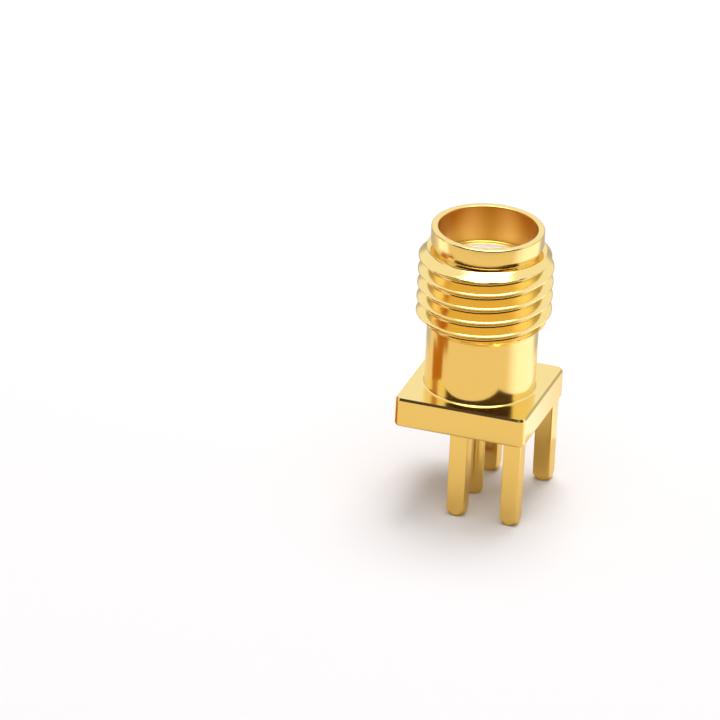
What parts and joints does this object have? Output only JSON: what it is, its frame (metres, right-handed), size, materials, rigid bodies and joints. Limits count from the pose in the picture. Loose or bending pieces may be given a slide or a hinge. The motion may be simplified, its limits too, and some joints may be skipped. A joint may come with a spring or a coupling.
{
  "type": "sma connector",
  "caption": "Gold-plated edge-mount coaxial jack: threaded barrel with a socket contact, square flange, legs that straddle a board's edge and a solder tail.",
  "frame": {"origin": "on the coaxial axis, at the level of the tips of the four legs", "axes": "+Z along the coaxial axis towards the mating mouth; +X from the solder tail towards the far pair of legs, through the board's thickness; +Y along the board's edge"},
  "size_m": [0.0064, 0.0064, 0.0136],
  "materials": {
    "body_gold": "polished gold plate",
    "contact_gold": "polished gold plate",
    "insulator_white": "waxy white fluoropolymer"
  },
  "bodies": {
    "root": {"connector_body": "body_gold", "dielectric_insulator": "insulator_white", "centre_contact": "contact_gold"}
  },
  "joints": []
}
